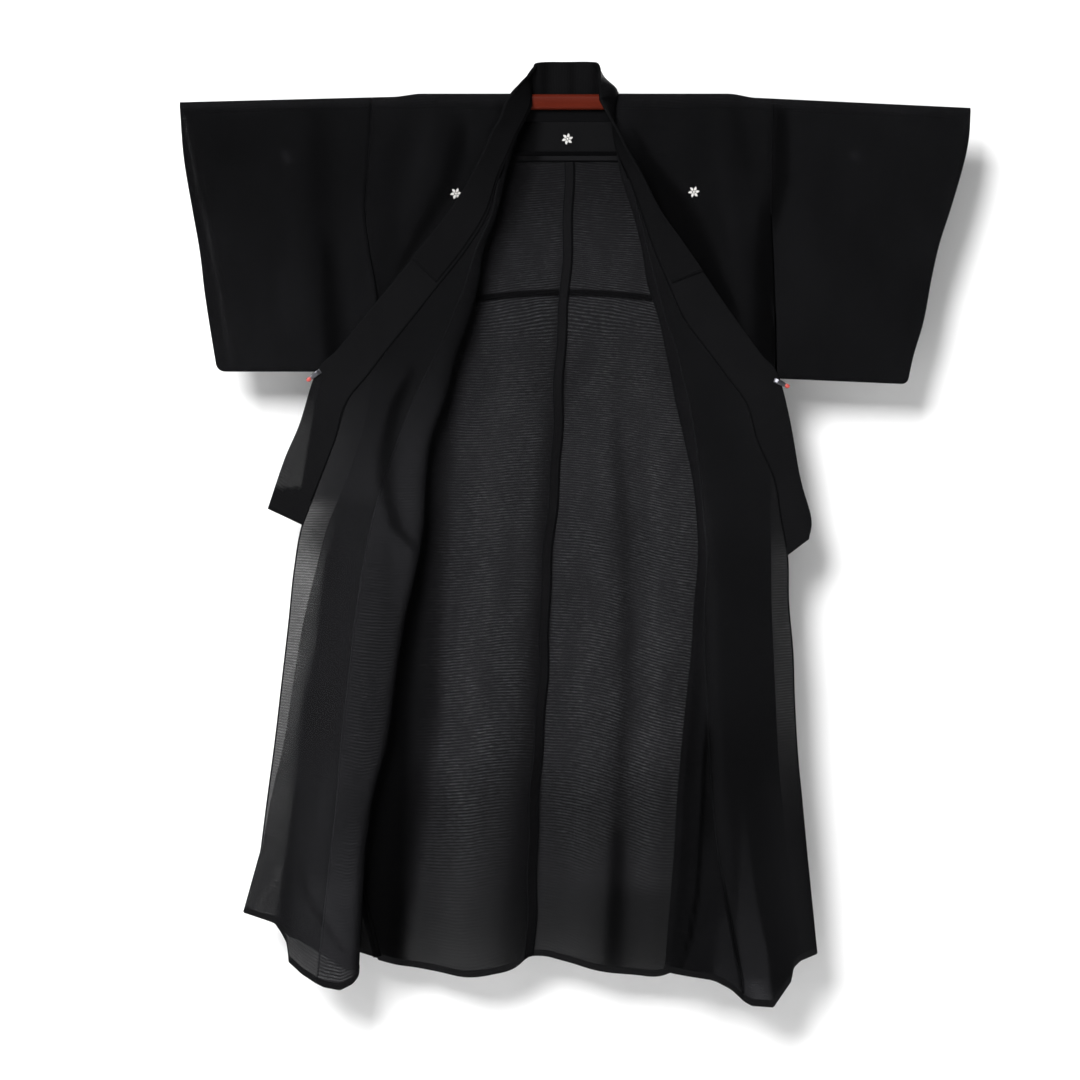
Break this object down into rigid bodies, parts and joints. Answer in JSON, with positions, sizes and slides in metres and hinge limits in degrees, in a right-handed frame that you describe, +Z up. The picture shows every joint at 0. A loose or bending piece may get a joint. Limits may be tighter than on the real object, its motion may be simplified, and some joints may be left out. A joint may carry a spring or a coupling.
{
  "type": "kimono on a bar hanger",
  "caption": "Unlined black silk gauze mourning kimono with five small crests, hung on a lacquered bar, fronts turned back and clipped to the sleeves.",
  "frame": {"origin": "middle of the hanger's bar", "axes": "+Z up, the kimono's front faces -Y, +X to the viewer's right"},
  "size_m": [1.383, 0.0965, 1.6493],
  "materials": {
    "silk": "black summer silk gauze with open weft rows, soft low sheen, seen through",
    "lacquer": "red-brown lacquer, satin",
    "clip_metal": "bright sprung steel",
    "clip_tip": "soft red dipped tips"
  },
  "bodies": {
    "root": {"body_left": "silk", "body_right": "silk", "okumi_left": "silk", "okumi_right": "silk", "sleeve_left": "silk", "sleeve_right": "silk", "collar": "silk", "over_collar": "silk", "shoulder_lining": "silk", "back_seam": "silk", "hanger_bar": "lacquer", "hanger_arm_left": "lacquer", "hanger_arm_right": "lacquer", "clip_left_front": "clip_metal", "clip_left_back": "clip_metal", "clip_left_spring": "clip_metal", "clip_left_tip_front": "clip_tip", "clip_left_tip_back": "clip_tip", "clip_right_front": "clip_metal", "clip_right_back": "clip_metal", "clip_right_spring": "clip_metal", "clip_right_tip_front": "clip_tip", "clip_right_tip_back": "clip_tip"}
  },
  "joints": []
}
